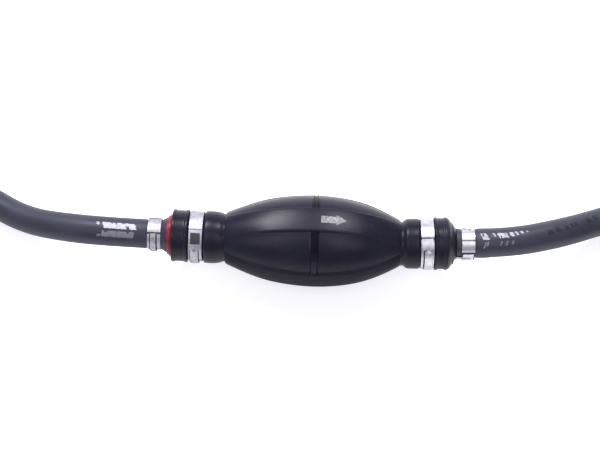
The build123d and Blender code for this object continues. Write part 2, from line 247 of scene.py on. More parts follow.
# each route goes through or near these places
inlet_route = [
    tuple(inlet.point(INLET_FLANGE_FACE) / MM),
    tuple(inlet.point(INLET_FLANGE_FACE + INLET_STRAIGHT) / MM),
    (-140.0, 4.9, 22.6),
    (-170.0, 14.0, 13.6),
    (-198.0, 33.0, FLOOR_HEIGHT + 0.5),
    (-232.0, 50.0, FLOOR_HEIGHT),
    (-276.0, 56.5, FLOOR_HEIGHT),
    (-318.0, 56.5, FLOOR_HEIGHT),
]

outlet_route = [
    tuple(outlet.point(OUTLET_FLANGE_FACE) / MM),
    tuple(outlet.point(OUTLET_FLANGE_FACE + OUTLET_STRAIGHT) / MM),
    (140.0, 12.7, 21.0),
    (168.0, 27.3, 12.2),
    (192.0, 38.0, FLOOR_HEIGHT + 0.4),
    (218.0, back_run_y, hank_low),
    (hank_near_x, back_run_y, hank_low),
]
FOLD_STEPS = 10
RUN_STEPS = 4
CLIMB_STOP = 0.75  # the part of the near fold in which the hose climbs to the upper layer


def hank_points():
    """The hose in its hank: two layers of one long loop, which climbs at the near fold."""
    points = []

    def run(start_x, stop_x, y, z):
        for step in range(1, RUN_STEPS + 1):
            points.append((start_x + (stop_x - start_x) * step / (RUN_STEPS + 1), y, z))

    def fold(centre_x, side, height):
        for step in range(FOLD_STEPS + 1):
            turn = math.pi * step / FOLD_STEPS
            y = hank_centre_y + HANK_FOLD * math.cos(turn) * side
            points.append((centre_x + side * HANK_FOLD * math.sin(turn), y, height(step / FOLD_STEPS)))

    run(hank_near_x, hank_far_x, back_run_y, hank_low)
    fold(hank_far_x, 1, lambda t: hank_low)
    run(hank_far_x, hank_near_x, front_run_y, hank_low)
    fold(hank_near_x, -1, lambda t: hank_low + (hank_high - hank_low) * smoothstep(0.0, CLIMB_STOP, t))
    run(hank_near_x, hank_far_x, back_run_y, hank_high)
    fold(hank_far_x, 1, lambda t: hank_high)
    run(hank_far_x, hank_near_x, front_run_y, hank_high)
    points.append((hank_near_x, front_run_y, hank_high))
    return points


# ------ hoses
CURVE_STEPS = 12  # between two places of a route
LEAST_STEP = 0.05 * MM
HOSE_STEP = 2.0 * MM
HOSE_SIDES = 48
CUT_ROUNDING = 0.35  # of the cut end's outer edge
CUT_CHAMFER = 0.25  # of its inner edge
BORE_ROW_EVERY = 3  # the bore needs fewer rows than the outside


def centreline(name, route):
    """Points in metres along the smooth curve of a route in millimetres."""
    data = bpy.data.curves.new(name, "CURVE")
    data.dimensions = "3D"
    data.resolution_u = CURVE_STEPS
    spline = data.splines.new("NURBS")
    spline.points.add(len(route) - 1)
    for point, place in zip(spline.points, route):
        point.co = (*(Vector(place) * MM), 1.0)
    spline.order_u = 3
    spline.use_endpoint_u = True
    curve = new_object(name, data)
    mesh = bpy.data.meshes.new_from_object(curve)
    points = [vertex.co.copy() for vertex in mesh.vertices]
    bpy.data.objects.remove(curve)
    bpy.data.curves.remove(data)
    bpy.data.meshes.remove(mesh)
    kept = [points[0]]
    for point in points[1:]:
        if (point - kept[-1]).length > LEAST_STEP:
            kept.append(point)
    return kept


def path_frames(points, spacing):
    """Evenly spaced (place, side, top, distance) along a path, with no twist."""
    lengths = [0.0]
    for before, after in zip(points, points[1:]):
        lengths.append(lengths[-1] + (after - before).length)
    total = lengths[-1]
    count = max(2, round(total / spacing))
    places = []
    piece = 0
    for step in range(count + 1):
        distance = total * step / count
        while piece < len(points) - 2 and lengths[piece + 1] < distance:
            piece += 1
        t = (distance - lengths[piece]) / (lengths[piece + 1] - lengths[piece])
        places.append(points[piece].lerp(points[piece + 1], min(1.0, max(0.0, t))))
    frames = []
    top = UP.copy()
    for index, place in enumerate(places):
        ahead = places[min(index + 1, count)] - places[max(index - 1, 0)]
        ahead.normalize()
        top = (top - ahead * top.dot(ahead)).normalized()
        side = ahead.cross(top)
        frames.append((place, side, top, total * index / count))
    return frames


def hose_piece(name, path, wall_radius):
    """A hollow hose. wall_radius gives its outer radius, in mm, at each distance in mm."""
    frames = path_frames(path, HOSE_STEP)
    total = frames[-1][3]
    turns = [2 * math.pi * k / HOSE_SIDES for k in range(HOSE_SIDES)]

    def ring(place, side, top, radius):
        return [place + spoke(side, top, turn) * radius * MM for turn in turns]

    rows, alongs = [], []
    for place, side, top, distance in frames:
        near_end = (total - distance) / MM
        round_off = CUT_ROUNDING * (1 - smoothstep(0.0, 0.6, near_end))
        rows.append(ring(place, side, top, wall_radius(distance / MM) - round_off))
        alongs.append(distance)
    last_place, last_side, last_top, _ = frames[-1]
    rows.append(ring(last_place, last_side, last_top, HOSE_BORE + CUT_CHAMFER))
    alongs.append(total)
    for place, side, top, distance in reversed(frames[:-1:BORE_ROW_EVERY]):
        rows.append(ring(place, side, top, HOSE_BORE))
        alongs.append(distance)
    mesh = ring_mesh(name, rows, alongs)
    shade_smooth(mesh, sharp_above=50)
    return new_object(name, mesh)


def inlet_wall(distance):
    """Outer radius by the distance from the flange: flared there, stretched over the barb and
    squeezed by the clamp."""
    flare = 1.7 * (1 - smoothstep(-0.6, 3.2, distance))
    stretch = 0.38 * (1 - smoothstep(48.0, 85.0, distance))
    squeeze = 0.5 * smoothstep(2.2, 3.6, distance) * (1 - smoothstep(10.6, 12.0, distance))
    return HOSE_RADIUS + flare + stretch - squeeze


def outlet_wall(distance):
    """Outer radius: as on the inlet hose, with a bulge beyond the clamp."""
    flare = 0.35 * (1 - smoothstep(0.0, 2.8, distance))
    stretch = 0.35 * (1 - smoothstep(55.0, 90.0, distance))
    bulge = 0.2 * math.exp(-(((distance - 15.6) / 3.2) ** 2))
    squeeze = 0.35 * smoothstep(2.6, 3.8, distance) * (1 - smoothstep(10.8, 12.2, distance))
    return HOSE_RADIUS + flare + stretch + bulge - squeeze


inlet_path = centreline("inlet_route", inlet_route)
inlet_hose = hose_piece("inlet_hose_wall", inlet_path, inlet_wall)
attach(inlet_hose, "pump")
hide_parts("inlet_hose")


# ------ ties of the hank
TIE_THICKNESS = 1.0 * MM
TIE_CORNER = 7.9 * MM
TIE_CORNER_STEPS = 12
TIE_WIDTH_STEPS = 10
TIE_EDGE_THINNING = 0.6


def make_tie(name, node):
    """A woven strap round the strands of hose on one side of the hank, thinner at its edges."""
    low, high = (Vector(corner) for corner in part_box(node))
    centre = (low + high) / 2
    corner_y = (high.y - low.y) / 2 - TIE_THICKNESS / 2 - TIE_CORNER
    corner_z = (high.z - low.z) / 2 - TIE_THICKNESS / 2 - TIE_CORNER
    outline = []
    for quarter, (sign_y, sign_z) in enumerate(((1, 1), (-1, 1), (-1, -1), (1, -1))):
        for step in range(TIE_CORNER_STEPS + 1):
            turn = math.pi / 2 * (quarter + step / TIE_CORNER_STEPS)
            y = sign_y * corner_y + TIE_CORNER * math.cos(turn)
            z = sign_z * corner_z + TIE_CORNER * math.sin(turn)
            outline.append((y, z))
    rows = []
    for y, z in outline:
        direction = Vector((0, y, z)).normalized()
        strip_row = []
        for sign in (1, -1):
            for k in range(TIE_WIDTH_STEPS + 1):
                t = k / TIE_WIDTH_STEPS if sign > 0 else 1 - k / TIE_WIDTH_STEPS
                x = low.x + (high.x - low.x) * t
                edge = 0.5 * TIE_THICKNESS * (1 - TIE_EDGE_THINNING * abs(2 * t - 1) ** 6)
                strip_row.append(Vector((x, centre.y + y, centre.z + z)) + direction * edge * sign)
        rows.append(strip_row)
    mesh = ring_mesh(name, rows)
    shade_smooth(mesh, sharp_above=60)
    tie = new_object(name, mesh)
    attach(tie, "pump")
    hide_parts(node)
    return tie


ties = [make_tie("tie_strap_front", "hank_tie_front"), make_tie("tie_strap_back", "hank_tie_back")]


# ------ outlet hose, which the ties hold
outlet_path = centreline("outlet_route", outlet_route + hank_points())
outlet_hose = hose_piece("outlet_hose_wall", outlet_path, outlet_wall)
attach(outlet_hose, "pump")
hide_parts("outlet_hose", "outlet_hose_hank", "outlet_hose_end")


# ------ bulb: one hollow rubber moulding
CROWN_RADIUS = 25.7
INLET_ARC = 119.0  # radius of the body's outline on the inlet side
OUTLET_ARC = 97.0
STRIP_RISE = 0.45  # at a strip's middle
STRIP_FLATNESS = 0.55  # how much more its edges rise, which makes it flatter than the bulb
STRIP_HALF_WIDTH = 6.7
STRIP_BEVEL = 0.7
RIB_HALF_WIDTH = 1.65
RIB_RISE = 0.5
RIB_HOLLOW = 0.45
GROOVE_DEPTH = 0.45
GROOVE_OFFSET = 0.4  # from the ring's edge to the groove's middle
EDGE_SOFTNESS = 0.35
RIB_SHADE_ABOVE = 18.6  # over the axis: above it the ring's rubber is darkened as painted shade; lower down this painted shade is lighter, and at last the ring is like the bulb
RIB_SHADE_STOPS_BELOW = 15.0
STRIP_LOWERING = 0.7  # the part of its rise that a strip loses towards the necks
BULB_WALL = 3.0
NECK_BORE = 10.4
BODY_INLET_X = -50.9  # where the body meets the necks
BODY_OUTLET_X = 48.6
END_FADE = 0.7  # the length in which the strips sink into the necks
STRIP_EDGE = STRIP_HALF_WIDTH + STRIP_BEVEL / 2
RIB_SHADE_MARGIN = 0.3  # the ring's painted shade takes in part of its grooves
RUBBER, SHADED_RIB, HALF_SHADED_RIB, SHADED_UNDERSIDE = range(4)  # material indices: the ring's two are darker copies of the rubber as painted shade; the underside's has less gloss, also as painted shade

# (along, radius, corner radius): the waist, the seat of the clamp, the lipped collar, the bore
inlet_neck = [
    (0.4, 13.6, 0.0), (1.4, 13.5, 0.8), (4.0, 14.5, 2.0), (8.0, 15.05, 2.5), (12.5, 14.85, 0.9),
    (13.2, 13.4, 0.3), (21.7, 13.4, 0.3),
    (22.2, 15.0, 0.35), (23.3, 15.05, 0.5), (24.2, 14.6, 0.6), (29.0, 14.6, 0.6), (29.9, 15.05, 0.5),
    (31.2, 15.0, 0.5), (31.4, 14.0, 0.4),
    (31.4, NECK_BORE, 0.2), (22.0, NECK_BORE, 0.0), (8.0, NECK_BORE, 0.0), (-1.0, NECK_BORE, 0.0),
]
outlet_neck = [
    (-1.0, 12.55, 0.0), (-0.2, 12.45, 0.6), (1.9, 14.2, 1.2), (8.7, 14.4, 0.8),
    (9.4, 13.6, 0.3), (17.5, 13.6, 0.3),
    (17.8, 15.1, 0.3), (18.8, 15.15, 0.45), (19.6, 14.6, 0.6), (23.0, 14.6, 0.6), (23.8, 15.15, 0.45),
    (24.7, 15.1, 0.3), (24.8, 14.4, 0.2),
    (24.8, NECK_BORE, 0.2), (16.0, NECK_BORE, 0.0), (6.0, NECK_BORE, 0.0), (-1.0, NECK_BORE, 0.0),
]
STRIP_STEPS, BEVEL_STEPS, PANEL_STEPS = 16, 5, 22  # columns of the mesh across each
FINE_STEP, COARSE_STEP = 0.2, 1.1  # between rows of the mesh
FINE_AT_RIB, FINE_AT_INLET, FINE_AT_OUTLET = 3.0, 1.2, 1.4


def body_radius(x, crown=CROWN_RADIUS, trim=0.0):
    """The lemon shape between the strips: an arc to each side of the crown."""
    arc = (INLET_ARC if x < 0 else OUTLET_ARC) - trim
    return crown - arc + math.sqrt(arc**2 - x**2)


def rib_height(x):
    """The ring round the crown: hollowed along its middle, with a fine groove on each side."""
    across = abs(x)
    ring = RIB_RISE * (1 - smoothstep(RIB_HALF_WIDTH - EDGE_SOFTNESS, RIB_HALF_WIDTH, across))
    off_groove = across - RIB_HALF_WIDTH - GROOVE_OFFSET
    groove = GROOVE_DEPTH * math.exp(-((off_groove / EDGE_SOFTNESS) ** 2))
    hollow = RIB_HOLLOW * (1 - smoothstep(0.1, 1.0, across))
    return ring - groove - hollow


def strip_columns(radius):
    """(angle, strip weight, nearness to its edge) round the bulb: columns follow the strips' edges."""
    half = math.asin(min(0.95, STRIP_HALF_WIDTH / radius))
    bevel = STRIP_BEVEL / radius
    quarter = math.pi / 2
    offsets = []
    for k in range(STRIP_STEPS):
        offsets.append((-half + 2 * half * k / STRIP_STEPS, 1.0, (2 * k / STRIP_STEPS - 1) ** 2))
    for k in range(BEVEL_STEPS):
        offsets.append((half + bevel * k / BEVEL_STEPS, 1 - smoothstep(0, 1, k / BEVEL_STEPS), 1.0))
    panel_start, panel_stop = half + bevel, quarter - half - bevel
    for k in range(PANEL_STEPS):
        offsets.append((panel_start + (panel_stop - panel_start) * k / PANEL_STEPS, 0.0, 0.0))
    for k in range(BEVEL_STEPS):
        offsets.append((panel_stop + bevel * k / BEVEL_STEPS, smoothstep(0, 1, k / BEVEL_STEPS), 1.0))
    return [(quarter * q + angle, weight, edge) for q in range(4) for angle, weight, edge in offsets]


def body_point(x, radius, angle):
    radial = Vector((0, -math.cos(angle), math.sin(angle)))
    return Vector((x * MM, 0, axis_height)) + radial * radius * MM


def body_row(x):
    """The body at a distance from the crown, with its strips and the ring between them."""
    base = body_radius(x)
    inlet_fade = smoothstep(BODY_INLET_X, BODY_INLET_X + END_FADE, x)
    outlet_fade = 1 - smoothstep(BODY_OUTLET_X - END_FADE, BODY_OUTLET_X, x)
    lowered = 1 - STRIP_LOWERING * smoothstep(24.0, 46.0, abs(x))
    row = []
    for angle, weight, edge in strip_columns(base):
        strip = (STRIP_RISE + STRIP_FLATNESS * edge) * weight * lowered
        radius = base + inlet_fade * outlet_fade * strip + rib_height(x) * (1 - weight)
        row.append(body_point(x, radius, angle))
    return row


def plain_row(end, along, radius, waist_radius):
    """A round row of a neck, with its columns where they are at the waist."""
    return [end.point(along, radius, angle) for angle, _, _ in strip_columns(waist_radius)]


def body_stations():
    """Where the body's rows are: close together at the ring and at the necks."""
    stations = []
    x = BODY_INLET_X
    while x < BODY_OUTLET_X - 0.01:
        stations.append(x)
        near_rib = abs(x) < FINE_AT_RIB
        near_end = x < BODY_INLET_X + FINE_AT_INLET or x > BODY_OUTLET_X - FINE_AT_OUTLET
        x += FINE_STEP if near_rib or near_end else COARSE_STEP
        if stations[-1] < -FINE_AT_RIB < x:
            x = -FINE_AT_RIB
    return [*stations, BODY_OUTLET_X]


def cavity_rows():
    half_length, steps = 47.0, 24
    rows = []
    for step in range(steps + 1):
        x = half_length - 2 * half_length * step / steps
        radius = max(NECK_BORE, body_radius(x, CROWN_RADIUS - BULB_WALL, BULB_WALL))
        rows.append([body_point(x, radius, angle) for angle, _, _ in strip_columns(CROWN_RADIUS)])
    return rows


def rubber_at(place):
    """The material index at a place measured from the middle of the moulding. The ring above the axis and
    the lower body get copies of the rubber that paint shade on them.
    """
    angle = math.atan2(place.z, -place.y) % (math.pi / 2)
    off_strip = min(angle, math.pi / 2 - angle) * CROWN_RADIUS > STRIP_EDGE
    outside = place.yz.length > (CROWN_RADIUS - BULB_WALL / 2) * MM
    on_ring = abs(place.x) < (RIB_HALF_WIDTH + RIB_SHADE_MARGIN) * MM and place.z > RIB_SHADE_STOPS_BELOW * MM
    if off_strip and outside and on_ring:
        return SHADED_RIB if place.z > RIB_SHADE_ABOVE * MM else HALF_SHADED_RIB
    # the lower body has less gloss: painted shade that dims the floor's reflection there
    if place.z < STRIP_EDGE * MM and BODY_INLET_X < place.x / MM < BODY_OUTLET_X:
        return SHADED_UNDERSIDE
    return RUBBER


def make_bulb():
    inlet_waist = body_radius(BODY_INLET_X)
    outlet_waist = body_radius(BODY_OUTLET_X)
    rows = [plain_row(inlet, *station, inlet_waist) for station in reversed(rounded(inlet_neck))]
    rows += [body_row(x) for x in body_stations()]
    rows += [plain_row(outlet, *station, outlet_waist) for station in rounded(outlet_neck)]
    rows += cavity_rows()
    mesh = ring_mesh("squeeze_bulb_moulding", rows)
    shade_smooth(mesh, sharp_above=60)
    for polygon in mesh.polygons:
        polygon.material_index = rubber_at(polygon.center - Vector((0, 0, axis_height)))
    bulb = new_object("squeeze_bulb_moulding", mesh)
    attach(bulb, "pump")
    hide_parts("squeeze_bulb")
    return bulb


ARROW_START = 3.4
ARROW_LENGTH = 14.2
ARROW_HALF = 3.5
ARROW_RISE = 0.32
ARROW_BEVEL = 0.28
ARROW_SHAFT_SHARE = 0.58  # of its length
ARROW_SHAFT_WIDTH = 0.6  # of its head's
ARROW_SPLITS = 3
ARROW_LONGEST_EDGE = 1.2  # of its mesh, so that it follows the bulb's curve
ARROW_ROOT = 0.5  # how deep its side walls go
ARROW_LIFT = 0.1  # of the whole arrow over the strip's middle


def make_flow_arrow():
    """A raised arrow on the top strip, which points the way the liquid goes."""
    head = ARROW_START + ARROW_SHAFT_SHARE * ARROW_LENGTH
    shaft = ARROW_SHAFT_WIDTH * ARROW_HALF
    outline = [
        (ARROW_START, -shaft), (head, -shaft), (head, -ARROW_HALF), (ARROW_START + ARROW_LENGTH, 0),
        (head, ARROW_HALF), (head, shaft), (ARROW_START, shaft),
    ]
    work = bmesh.new()
    work.faces.new([work.verts.new((x, y, 0)) for x, y in outline])
    bmesh.ops.inset_region(work, faces=work.faces[:], thickness=ARROW_BEVEL, depth=ARROW_RISE)
    for _ in range(ARROW_SPLITS):
        bmesh.ops.triangulate(work, faces=work.faces[:])
        long_edges = [edge for edge in work.edges if edge.calc_length() > ARROW_LONGEST_EDGE]
        bmesh.ops.subdivide_edges(work, edges=long_edges, cuts=1)
    rim = [edge for edge in work.edges if edge.is_boundary]
    skirt = bmesh.ops.extrude_edge_only(work, edges=rim)["geom"]
    for element in skirt:
        if isinstance(element, bmesh.types.BMVert):
            element.co.z = -ARROW_ROOT
    bmesh.ops.holes_fill(work, edges=[edge for edge in work.edges if edge.is_boundary])
    for vertex in work.verts:
        height = body_radius(vertex.co.x) + STRIP_RISE + vertex.co.z + ARROW_LIFT
        across = vertex.co.y
        rise = math.sqrt(height**2 - across**2)
        vertex.co = Vector((vertex.co.x * MM, across * MM, axis_height + rise * MM))
    bmesh.ops.recalc_face_normals(work, faces=work.faces)
    mesh = finished_mesh(work, "flow_arrow")
    shade_smooth(mesh, sharp_above=35)
    arrow = new_object("flow_arrow", mesh)
    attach(arrow, "pump")
    return arrow


bulb = make_bulb()
flow_arrow = make_flow_arrow()


# ------ valve bodies
BARB_TIP = 5.75
BARB_ROOT = 4.95
BARB_TEETH = 3
BARB_REACH = 52.5  # from an end's pivot to the tip of its barb, along X, the same on both ends
PORT = 3.6
CHAMBER = 7.8
SLEEVE = 10.35  # the part that sits in the neck
TOOTH_SLOPE = 0.15  # the part of a barb's pitch in which a tooth rises


def barb_profile(start, stop):
    pitch = (stop - start) / BARB_TEETH
    points = []
    for tooth in range(BARB_TEETH):
        edge = start + tooth * pitch
        points += [(edge, BARB_ROOT, 0.05), (edge + TOOTH_SLOPE * pitch, BARB_TIP, 0.08)]
    return points + [(stop, BARB_ROOT, 0.3)]


# each profile goes over the sleeve, the flange and the barb, and back through the port
inlet_reach = BARB_REACH / (-inlet.out.x)
outlet_reach = BARB_REACH / outlet.out.x
inlet_valve_body = lathe(
    "inlet_valve_moulding",
    inlet,
    [
        (2.0, CHAMBER, 0.2), (2.0, SLEEVE, 0.4), (31.5, SLEEVE, 0.1), (31.5, 11.9, 0.2),
        (32.9, 11.9, 0.2), (33.0, 11.2, 0.1), (33.9, 11.0, 0.2), (34.1, 9.9, 0.2),
        (INLET_FLANGE_FACE, 9.8, 0.1),
        (INLET_FLANGE_FACE, BARB_ROOT, 0.1), *barb_profile(37.0, inlet_reach),
        (inlet_reach, PORT, 0.2), (21.6, PORT, 0.2), (21.6, CHAMBER, 0.1),
    ],
)
outlet_valve_body = lathe(
    "outlet_valve_moulding",
    outlet,
    [
        (1.0, CHAMBER, 0.2), (1.0, SLEEVE, 0.4), (24.85, SLEEVE, 0.1), (24.85, 14.9, 0.3),
        (26.0, 14.3, 0.8), (27.6, 12.1, 0.5), (28.1, 11.9, 0.15), (28.5, 11.6, 0.12),
        (28.6, 11.0, 0.12), (29.8, 9.0, 0.7), (OUTLET_FLANGE_FACE, 8.4, 0.2),
        (OUTLET_FLANGE_FACE, BARB_ROOT, 0.1), *barb_profile(32.6, outlet_reach),
        (outlet_reach, PORT, 0.2), (18.6, PORT, 0.2), (18.6, CHAMBER, 0.1),
    ],
)
for piece, node, slot in (
    (inlet_valve_body, "inlet_valve_body", "red_plastic"),
    (outlet_valve_body, "outlet_valve_body", "black_plastic"),
):
    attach(piece, "pump")
    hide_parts(node)


# ------ clamps
BAND = 0.7  # thickness of the band without its overlap
LAYER = 0.42  # thickness of the overlap
GAP = 0.02  # keeps faces that lie on each other apart
BACKING = 0.2  # thickness of the strip of painted shade that closes a hole from below
BACKING_TURN = 4  # in degrees, and below as a part of the width: how far it goes past the hole
BACKING_MARGIN = 0.04
EAR_RISE = 2.1
EAR_HALF = 0.26  # radians
BAND_STEPS = 160
ARC_STEPS = 48
ACROSS_STEPS = 14
STRAP_BEVEL = 0.12
STEEL, SHADE_STEEL = range(2)  # material indices: the second is painted shade, a dark non-metal on shadowed strips, plates and dimple hollows


def strap(end, start, width, path, thickness, hole=None, material=STEEL):
    """A bent flat band as mesh data. path gives (angle, radius of the inner face); hole is
    (first, last, low, high) in radians within half a turn of the front and fractions of the width."""
    work = bmesh.new()
    stations = [start + width * k / ACROSS_STEPS for k in range(ACROSS_STEPS + 1)]
    grid = []
    for angle, radius in path:
        grid.append([work.verts.new(end.point(along, radius, angle)) for along in stations])
    for row in range(len(path) - 1):
        turn = (path[row][0] + path[row + 1][0]) / 2
        angle = (turn + math.pi) % (2 * math.pi) - math.pi
        for k in range(ACROSS_STEPS):
            middle = (k + 0.5) / ACROSS_STEPS
            if hole and hole[0] < angle < hole[1] and hole[2] < middle < hole[3]:
                continue
            work.faces.new((grid[row][k], grid[row][k + 1], grid[row + 1][k + 1], grid[row + 1][k]))
    loose = [vertex for vertex in work.verts if not vertex.link_faces]
    bmesh.ops.delete(work, geom=loose, context="VERTS")
    bmesh.ops.remove_doubles(work, verts=work.verts, dist=1e-6)
    bmesh.ops.recalc_face_normals(work, faces=work.faces)
    face = work.faces[:][0]
    outward = face.calc_center_median() - end.point(start + width / 2)
    if face.normal.dot(outward) < 0:
        bmesh.ops.reverse_faces(work, faces=work.faces)
    obj = new_object("strap", finished_mesh(work, "strap"))
    solid = obj.modifiers.new("thickness", "SOLIDIFY")
    solid.thickness = thickness * MM
    solid.offset = 1.0
    solid.use_even_offset = True
    bevel = obj.modifiers.new("edges", "BEVEL")
    bevel.width = STRAP_BEVEL * MM
    bevel.segments = 2
    bevel.limit_method = "ANGLE"
    bevel.angle_limit = math.radians(50)
    depsgraph = bpy.context.evaluated_depsgraph_get()
    applied = bpy.data.meshes.new_from_object(obj.evaluated_get(depsgraph))
    bpy.data.objects.remove(obj)
    for polygon in applied.polygons:
        polygon.material_index = material
    return applied


def band_path(inner, ear_angle):
    """All round the band, out over the crimped ear at ear_angle."""
    path = []
    for step in range(BAND_STEPS + 1):
        angle = ear_angle + math.pi + 2 * math.pi * step / BAND_STEPS
        off = abs(2 * math.pi * step / BAND_STEPS - math.pi)
        rise = EAR_RISE * (1 - smoothstep(EAR_HALF * 0.55, EAR_HALF * 1.15, off))
        path.append((angle, inner + rise))
    return path


def arc_path(first, last, radius, end_lift=0.0):
    """Round an arc, in degrees from the front. Its last part rises by end_lift into a blunt hook."""
    path = []
    for step in range(ARC_STEPS + 1):
        t = step / ARC_STEPS
        angle = math.radians(first + (last - first) * t)
        hook = smoothstep(0.45, 0.8, t) * (1 - smoothstep(0.9, 1.0, t) * 0.8)
        path.append((angle, radius + end_lift * hook))
    return path


DIMPLE_SIDES = 20
DIMPLE_PROFILE = ((1.25, -0.05), (1.1, 0.1), (0.85, 0.08), (0.6, -0.1), (0.2, -0.16))  # (reach, height)


def dimple(end, along, angle, radius, size):
    """A punched dimple: a small dished disc with a bright rim, its hollow dark as painted shade."""
    centre = end.point(along, radius, angle)
    outward = (end.point(along, radius + 1, angle) - centre).normalized()
    other = outward.cross(end.out)
    turns = [2 * math.pi * k / DIMPLE_SIDES for k in range(DIMPLE_SIDES)]
    work = bmesh.new()
    rings = []
    for reach, height in DIMPLE_PROFILE:
        middle = centre + outward * height * MM
        ring = [middle + spoke(end.out, other, turn) * reach * size * MM for turn in turns]
        rings.append([work.verts.new(place) for place in ring])
    for level, (outer, inner) in enumerate(zip(rings, rings[1:])):
        for k in range(DIMPLE_SIDES):
            beside = (k + 1) % DIMPLE_SIDES
            face = work.faces.new((outer[k], outer[beside], inner[beside], inner[k]))
            face.material_index = STEEL if level == 0 else SHADE_STEEL
    work.faces.new(rings[-1]).material_index = SHADE_STEEL
    work.faces.new(list(reversed(rings[0])))
    bmesh.ops.recalc_face_normals(work, faces=work.faces)
    return finished_mesh(work, "dimple")


def make_clamp(name, node, end, start, width, inner, ear, layer, plates, hole=None, dimples=()):
    """A crimped band clamp. Angles are in degrees from the front. layer is the (first, last) of the
    overlapping outer layer; plates are (first, last, low, high, lift, thickness, end lift, material);
    hole is (first, last, low, high); dimples are (middle, angle, lift, size). low, high and middle
    are fractions of the width."""
    outer = inner + BAND
    cut = None
    if hole:
        first, last, low, high = hole
        cut = (math.radians(first), math.radians(last), low, high)
    meshes = [strap(end, start, width, band_path(inner, math.radians(ear)), BAND, hole=cut)]
    if hole:
        # the hole is closed from below by a strip of painted shade
        path = arc_path(first - BACKING_TURN, last + BACKING_TURN, inner + 2 * GAP)
        low_edge = start + width * (low - BACKING_MARGIN)
        backing_width = width * (high - low + 2 * BACKING_MARGIN)
        meshes.append(strap(end, low_edge, backing_width, path, BACKING, material=SHADE_STEEL))
    meshes.append(strap(end, start, width, arc_path(*layer, outer + GAP), LAYER))
    for first, last, low, high, lift, thickness, end_lift, material in plates:
        path = arc_path(first, last, outer + lift, end_lift)
        low_edge, plate_width = start + width * low, width * (high - low)
        meshes.append(strap(end, low_edge, plate_width, path, thickness, material=material))
    for middle, angle, lift, size in dimples:
        meshes.append(dimple(end, start + width * middle, math.radians(angle), outer + lift, size))
    work = bmesh.new()
    for mesh in meshes:
        work.from_mesh(mesh)
        bpy.data.meshes.remove(mesh)
    mesh = finished_mesh(work, name)
    shade_smooth(mesh, sharp_above=40)
    clamp = new_object(name, mesh)
    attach(clamp, "pump")
    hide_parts(node)
    return clamp


# plates of the shade steel are painted shade on the clamps' shadowed steps and edges
clamps = [
    make_clamp(
        "inlet_bulb_band", "inlet_bulb_clamp", inlet, start=13.6, width=7.6, inner=13.4, ear=-75,
        layer=(78, 160),
        hole=(43, 70, 0.16, 0.88),
        plates=[
            (40, -30, 0.27, 0.86, 0.02, 0.4, 0.9, STEEL),
            (28, -26, 0.2, 0.92, 0.01, 0.12, 0.6, SHADE_STEEL),
            (41, 38, 0.0, 1.0, 0.02, 0.25, 0.0, STEEL),
        ],
        dimples=[(0.56, 29, 0.45, 0.8)],
    ),
    make_clamp(
        "outlet_bulb_band", "outlet_bulb_clamp", outlet, start=9.8, width=7.3, inner=13.6, ear=-85,
        layer=(76, 160),
        plates=[
            (77, 71, 0.0, 1.0, 0.01, 0.15, 0.0, SHADE_STEEL),
            (72.5, 49, 0.05, 0.93, 0.02, 0.4, 0.0, STEEL),
            (49, 40, 0.42, 0.72, 0.02, 0.4, 0.3, STEEL),
            (46, -36, 0.17, 0.9, 0.01, 0.1, 0.0, SHADE_STEEL),
            (44, -35, 0.28, 0.88, 0.02, 0.36, 0.2, STEEL),
        ],
    ),
    make_clamp(
        "inlet_hose_band", "inlet_hose_clamp", inlet, start=37.6, width=7.5, inner=8.05, ear=235,
        layer=(69, 134),
        plates=[
            (134, 150, 0.0, 1.0, 0.05, 0.5, 0.0, SHADE_STEEL),
            (70, 62, 0.0, 1.0, 0.01, 0.12, 0.0, SHADE_STEEL),
            (63, -30, 0.26, 0.84, 0.01, 0.2, 0.5, SHADE_STEEL),
            (64, -32, 0.36, 0.76, 0.02, 0.45, 0.8, STEEL),
        ],
        dimples=[(0.57, 46, 0.5, 0.4)],
    ),
    make_clamp(
        "outlet_hose_band", "outlet_hose_clamp", outlet, start=33.2, width=7.4, inner=8.05, ear=235,
        layer=(73.5, 118),
        plates=[
            (74, 69, 0.0, 1.0, 0.01, 0.12, 0.0, SHADE_STEEL),
            (70.5, 46, 0.0, 1.0, 0.02, 0.3, 0.0, STEEL),
            (26, 18, 0.0, 1.0, 0.01, 0.15, 0.0, SHADE_STEEL),
            (20, -24, -0.02, 1.0, 0.01, 0.3, 0.2, SHADE_STEEL),
            (18, -22, 0.1, 0.9, 0.05, 0.5, 0.25, STEEL),
            (0, -24, -0.45, 0.6, 0.05, 0.3, 0.0, STEEL),
        ],
        dimples=[
            (0.24, -2, 0.62, 0.8), (0.52, -2, 0.62, 0.8), (0.2, 126, 0.42, 0.95), (0.58, 120, 0.42, 0.8),
        ],
    ),
]


# ------ springs
def shorten_with_poppet(node, end, fixed_end):
    """The spring stands on its fixed end, min or max along the axis. This finds that end and gives the
    spring a mesh of its own; it does not shorten the spring."""
    spring = frame_object(node)
    places = [spring.matrix_world @ vertex.co for vertex in spring.data.vertices]
    stations = [(place - end.origin).dot(end.out) for place in places]
    anchor = end.origin + end.out * fixed_end(stations)
    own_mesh(spring)


shorten_with_poppet("inlet_spring", inlet, min)
shorten_with_poppet("outlet_spring", outlet, max)


